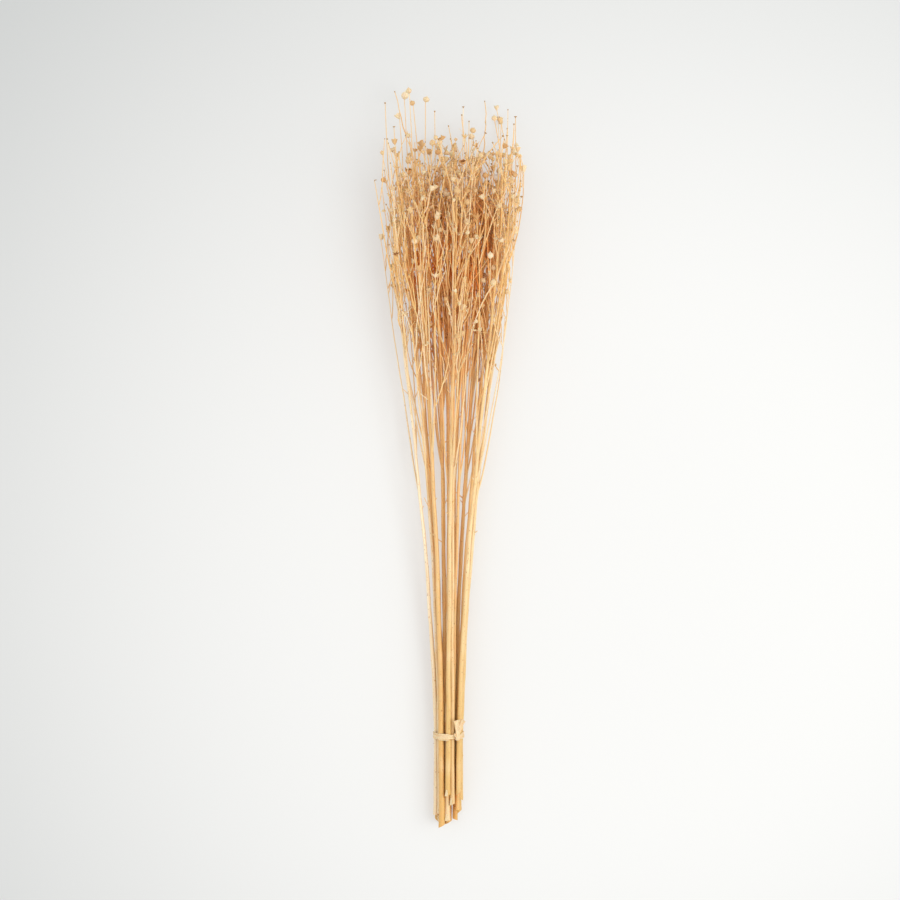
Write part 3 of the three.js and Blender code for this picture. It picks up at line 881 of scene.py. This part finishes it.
def dried_pod_paper():
    """Papery pods and scales: thin, matt, veined, cream to orange brown, a little see-through, painted
    shade inside.
    """
    material, shader = new_material("dried_pod_paper", 0.66, Subsurface_Weight=0.25,
                                    Subsurface_Radius=(1.0, 0.55, 0.25), Subsurface_Scale=1.2 * MM)
    paper = add_node(material, "ShaderNodeValToRGB", {0: from_mesh(material, "tone")}, stops=[
        (0.0, "#eedcba"), (0.35, "#e4c99c"), (0.65, "#d8b07c"), (0.9, "#c28a4c"),
        (1.0, "#97622e")]).outputs[0]
    vein = fibres(material, 0.6, 7)
    colour = layered(material, paper, [
        # painted shade: orange on the pods deep in the bundle
        (ranged(material, from_mesh(material, "depth"), 0.1, 1.0, 0.0, 0.65), "#e2943a"),
        (ranged(material, vein, 0.42, 0.66, 0.0, 0.35), "#c48a48"),
    ])
    return dress(material, shader, colour, vein, 0.4, 0.15)


def withered_twig_tip():
    """The knob on a bare twig: withered, matt and grey brown."""
    material, shader = new_material("withered_twig_tip", 0.8)
    mottle = fibres(material, 0.4, 0.4)
    return dress(material, shader, layered(material, linear("#a17c50"), [(mottle, "#cdaa7c")]))


stem_materials = [bleached_stem_skin_with_painted_shade(), cut_stem_pith(), dried_pod_paper(), withered_twig_tip()]
print("stem materials:", [material.name for material in stem_materials])

# %% [markdown]
# ## Growing every stem
# Each stem takes its stalk and branches from the frame, then gets its twigs, pods and scales. Its
# chance is seeded by its own number, so a change to one stem doesn't reshuffle the others.

# %% Stems
TWIGS_FROM = 395 * MM  # height of the lowest twig above the feet
STALK_TWIGS, BRANCH_TWIGS = 11, 4  # on each, give or take one
TWIG_LENGTH, TWIG_REACH = (32, 95), (5, 20)  # mm, along its parent and away from it
TOWARDS_END = 0.7  # under 1 puts more twigs near the end of their parent


def grow_stem(name, number):
    """One stem as one mesh."""
    chance = random.Random(700 + number)
    shells = Shells()
    stalk, *branches = rods_of[name]
    stalk_path = add_stalk(shells, chance, stalk)
    add_tip(shells, chance, stalk_path[-1], directions(stalk_path)[-1])
    parents = [(stalk_path, STALK_TWIGS)]
    parents += [(add_branch(shells, chance, rod), BRANCH_TWIGS) for rod in branches]
    for path, twigs in parents:
        whole = distances(path)[-1]
        lowest = max(0.08 * whole, TWIGS_FROM - (path[0, 1] - feet))
        for _ in range(twigs + chance.choice([-1, 0, 1])):
            start = lowest + (0.96 * whole - lowest) * chance.random() ** TOWARDS_END
            add_twig(shells, chance, path, start, chance.uniform(*TWIG_LENGTH) * MM,
                     chance.uniform(*TWIG_REACH) * MM, TWIG_RADIUS * chance.uniform(0.85, 1.2), 1)
    return shells.mesh_object(name + "_dried", stem_materials)


faces = 0
for number, name in enumerate(STEMS):
    stem = grow_stem(name, number)
    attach(stem, "root")
    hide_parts(name)
    faces += len(stem.data.polygons)
print("stem faces:", faces)

# %% [markdown]
# ## Raffia tie
# The tie is one flat strip of raffia palm leaf, about 6 mm wide, pulled tight round the stalks and
# knotted at the front right, with two short tails that stand up in a V. A tight strip doesn't follow
# the dips between stalks: it runs straight from one outer stalk to the next. So its line is found as
# the outline that is tight round all the stalks, and its wrinkles are laid on in mesh.

# %% The taut line
TIE_WIDTH = 6.2 * MM
KNOT_ANGLE = math.radians(58)  # round the bundle, from +X up
KNOT_BELOW = 3.9 * MM  # how far the knot reaches below the strip's middle
TIE_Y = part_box("raffia_tie")[0][1] + KNOT_BELOW


def stalks_at(y):
    """x, z and radius of every stalk in the plane at y."""
    rows = []
    for name in STEMS:
        stalk = rods_of[name][0]
        heights = stalk["path"][:, 1]
        rows.append([np.interp(y, heights, column) for column in
                     (stalk["path"][:, 0], stalk["path"][:, 2], stalk["reach"])])
    return np.array(rows)


tied = np.concatenate([stalks_at(TIE_Y + dy * MM) for dy in (-3, 0, 3)])  # across the strip's width
TIE_MIDDLE = tied[:, :2].mean(axis=0)


def taut_line(out, sides=96):
    """The line that is tight round all the stalks, some way out from them, as x and z."""
    angles = TAU * np.arange(sides + 1) / sides
    aim = np.stack([np.cos(angles), np.sin(angles)])
    reach = ((tied[:, :2] - TIE_MIDDLE) @ aim + tied[:, 2:]).max(axis=0) + out
    a, b, ra, rb = angles[:-1], angles[1:], reach[:-1], reach[1:]
    sine = math.sin(TAU / sides)
    x = (ra * np.sin(b) - rb * np.sin(a)) / sine
    z = (rb * np.cos(a) - ra * np.cos(b)) / sine
    return np.stack([x, z], axis=1) + TIE_MIDDLE


print("tie height above the feet in mm:", round((TIE_Y - feet) / MM, 1))


# %% The tie's pieces
CREASES = 0.2 * MM  # depth of the creases in the strip
KNOT_ROLLS = (0.75, 1.0, 0.0), (-0.5, 0.82, 0.5)  # slope, size and lift in mm of its two turns
# Each tail leans this share of its length, and has these mm of length, width and lift, and a twist.
TAILS = (0.2, 16.4, 6.2, 3.2, 0.2), (-0.24, 16.2, 4.6, 4.2, 0.9)
LOOSE_FIBRES = 9


def knot_frame():
    """The knot's place on the strip, with the directions out from the bundle and along the strip."""
    line = taut_line(0.7 * MM) - TIE_MIDDLE
    turns = np.arctan2(line[:, 1], line[:, 0]) % TAU
    order = np.argsort(turns)
    reach = np.interp(KNOT_ANGLE, turns[order], np.linalg.norm(line, axis=1)[order])
    out = across_bundle(KNOT_ANGLE)
    at = np.array([TIE_MIDDLE[0], TIE_Y, TIE_MIDDLE[1]]) + reach * out
    return at, out, np.cross(out, Y_AXIS)


def add_band(shells, chance):
    """The strip round the bundle, pinched where the knot holds it."""
    line = taut_line(0.5 * MM)
    path = np.stack([line[:, 0], np.full(len(line), TIE_Y), line[:, 1]], axis=1)
    upward = np.tile(Y_AXIS, (len(path), 1))
    normals = np.cross(upward, unit(np.roll(path, -1, axis=0) - np.roll(path, 1, axis=0)))
    turns = TAU * np.arange(len(path)) / len(path)
    near = np.exp(-((np.angle(np.exp(1j * (turns - KNOT_ANGLE))) / 0.3) ** 2))
    path[:, 1] += 0.35 * MM * np.sin(2 * turns + 1)
    add_strip(shells, chance, path, upward, normals, TIE_WIDTH * (1 - 0.4 * near), CREASES, loop=True)


def add_knot(shells, chance):
    """The half knot: a strip that comes from under the band, rolls over it and goes under again."""
    at, out, along = knot_frame()
    for slope, size, lift in KNOT_ROLLS:
        lay = unit(along * slope + Y_AXIS)
        share = np.linspace(-1, 1, 15)
        path = at + lay * (4.3 * MM * size * np.sin(share * 1.5))[:, None]
        path = path + out * ((1.9 * size * np.cos(share * 1.7) + lift) * MM)[:, None]
        sideways = np.tile(np.cross(out, lay), (len(path), 1))
        normals = np.cross(directions(path), -sideways)
        widths = TIE_WIDTH * 0.72 * size * (0.7 + 0.3 * np.cos(share * 2))
        add_strip(shells, chance, path, sideways, normals, widths, CREASES)


def add_tails(shells, chance):
    """Two tails that fan out of the knot towards the seed heads and lift off the stalks."""
    at, out, along = knot_frame()
    for lean, length, width, lift, twist in TAILS:
        share = np.linspace(0, 1, 16)
        path = at + Y_AXIS * (length * MM * share)[:, None]
        path = path + along * (lean * length * MM * share ** 1.2)[:, None]
        path = path + out * ((1.4 + lift * share ** 1.5) * MM)[:, None]
        tangents = directions(path)
        flat = unit(np.cross(tangents, out))
        rise = np.cross(flat, tangents)
        roll = twist * share
        sideways = flat * np.cos(roll)[:, None] + rise * np.sin(roll)[:, None]
        normals = np.cross(sideways, tangents)
        widths = width * MM * (0.42 + 0.58 * share ** 0.8)
        add_strip(shells, chance, path, sideways, normals, widths, 0.8 * CREASES)


def add_loose_fibres(shells, chance):
    """Threads that have split off the tails' ends and the strip's edge."""
    at, out, along = knot_frame()
    for _ in range(LOOSE_FIBRES):
        start = at + Y_AXIS * chance.uniform(6, 15) * MM + along * chance.uniform(-3, 3) * MM
        start = start + out * chance.uniform(2.0, 3.6) * MM
        aim = Y_AXIS + along * chance.uniform(-0.5, 0.5) + out * chance.uniform(0.0, 0.3)
        share = np.linspace(0, 1, 7)
        path = start + aim * (chance.uniform(3, 6) * MM * share)[:, None]
        path = path + along * (chance.uniform(-1.5, 1.5) * MM * share ** 2)[:, None]
        add_rod(shells, chance, path, np.linspace(0.14, 0.07, 7) * MM, 5, chance.random(), slot=0)


# %% Raffia and its material
def split_raffia_palm():
    """Raffia: the skin of a palm leaf, split into strips and dried. Fine parallel fibres, satin."""
    material, shader = new_material("split_raffia_palm", 0.56, Subsurface_Weight=0.1,
                                    Subsurface_Scale=0.8 * MM)
    fine = fibres(material, 0.3, 26, 3.0)
    broad = fibres(material, 1.6, 18)
    crinkle = fibres(material, 1.1, 0.8)
    straw = add_node(material, "ShaderNodeValToRGB", {0: fine}, stops=[
        (0.3, "#cfa166"), (0.46, "#e8cb9c"), (0.7, "#f2dfbe")]).outputs[0]
    colour = layered(material, straw, [
        (ranged(material, broad, 0.5, 0.7, 0.0, 0.5), "#d9b07a"),
        (ranged(material, crinkle, 0.5, 0.66, 0.0, 0.4), "#c2935a"),
    ])
    relief = add_node(material, "ShaderNodeMath", {0: fine, 1: crinkle}, operation="ADD").outputs[0]
    return dress(material, shader, colour, relief, 0.7, 0.15)


tie_shells, tie_chance = Shells(), random.Random(57)
for add_part in (add_band, add_knot, add_tails, add_loose_fibres):
    add_part(tie_shells, tie_chance)
tie = tie_shells.mesh_object("raffia_tie_strip", [split_raffia_palm()], sharp=60)
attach(tie, "root")
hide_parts("raffia_tie")
print("tie faces:", len(tie.data.polygons))

# %% [markdown]
# ## Board and light
# The bundle lies on opal acrylic with a painted glow. The board gives off a faint warm light of its own,
# strongest at one spot and fading away from it, as a light table lit from below would for catalogue
# work, though no lamp is under it. The glow keeps the bundle's shadow faint and pinkish and lights the
# gaps between stems from below. The light above is high and very soft: a bright surrounding that fills
# every side, and one large soft light from the right, so that each stalk has a light side and the bundle
# throws a weak shadow to the left.

# %% Board
PAINTED_GLOW_MIDDLE = 0.16, -0.11, 0  # m, where the board's painted glow is strongest; no lamp is there
GLOW, GLOW_LOST = 0.46, 0.36  # painted glow at that spot, and how much of it fades away
GLOW_NEAR, GLOW_FAR = 0.2, 1.1  # m from that spot, where the painted glow starts and stops fading


def opal_acrylic_painted_glow():
    """Opal acrylic: matt, white, with a faint painted glow that fades away from one spot under it."""
    # painted glow: warm emission over a cool grey base, so the shade that the bundle leaves on it turns
    # pinkish
    material, shader = new_material("opal_acrylic_painted_glow", 0.85, ior=1.49, Base_Color=linear("#a6aaab"),
                                    Emission_Color=linear("#fff9f5"))
    place = add_node(material, "ShaderNodeTexCoord").outputs["Object"]
    away = add_node(material, "ShaderNodeVectorMath", {0: place, 1: PAINTED_GLOW_MIDDLE},
                    operation="DISTANCE").outputs["Value"]
    glow = add_node(material, "ShaderNodeMapRange",
                    {0: away, 1: GLOW_NEAR, 2: GLOW_FAR, 3: GLOW, 4: GLOW - GLOW_LOST},
                    interpolation_type="SMOOTHSTEP").outputs[0]
    material.node_tree.links.new(glow, shader.inputs["Emission Strength"])
    return material


HALF = 2.0  # m, half the board's side
board_mesh = bpy.data.meshes.new("board")
board_mesh.from_pydata([(-HALF, -HALF, 0), (HALF, -HALF, 0), (HALF, HALF, 0), (-HALF, HALF, 0)],
                       [], [(0, 1, 2, 3)])
board_mesh.materials.append(opal_acrylic_painted_glow())
board = in_scene("board", board_mesh)

# %% Light
SURROUND, SURROUND_STRENGTH = "#fbfbfa", 1.02
KEY_PLACE, KEY_AIM = (1.3, -0.1, 1.9), (0.1, -0.1, 0)  # m
KEY_SIDE, KEY_WATTS, KEY_COLOUR = 1.4, 20, "#fffdf8"

world = bpy.data.worlds.new("studio")
bpy.context.scene.world = world
world.use_nodes = True
background = world.node_tree.nodes["Background"]
background.inputs["Color"].default_value = linear(SURROUND)
background.inputs["Strength"].default_value = SURROUND_STRENGTH


def add_light(name, place, aim, side, watts, colour):
    """A square soft light at place that shines at aim."""
    lamp = bpy.data.lights.new(name, "AREA")
    lamp.size, lamp.energy, lamp.color = side, watts, linear(colour)[:3]
    light = in_scene(name, lamp)
    light.location = place
    toward = light.location.copy()
    toward.x, toward.y, toward.z = (aim[i] - place[i] for i in range(3))
    light.rotation_mode = "QUATERNION"
    light.rotation_quaternion = toward.to_track_quat("-Z", "Y")


add_light("soft_key", KEY_PLACE, KEY_AIM, KEY_SIDE, KEY_WATTS, KEY_COLOUR)
bpy.context.scene.view_settings.view_transform = "Standard"
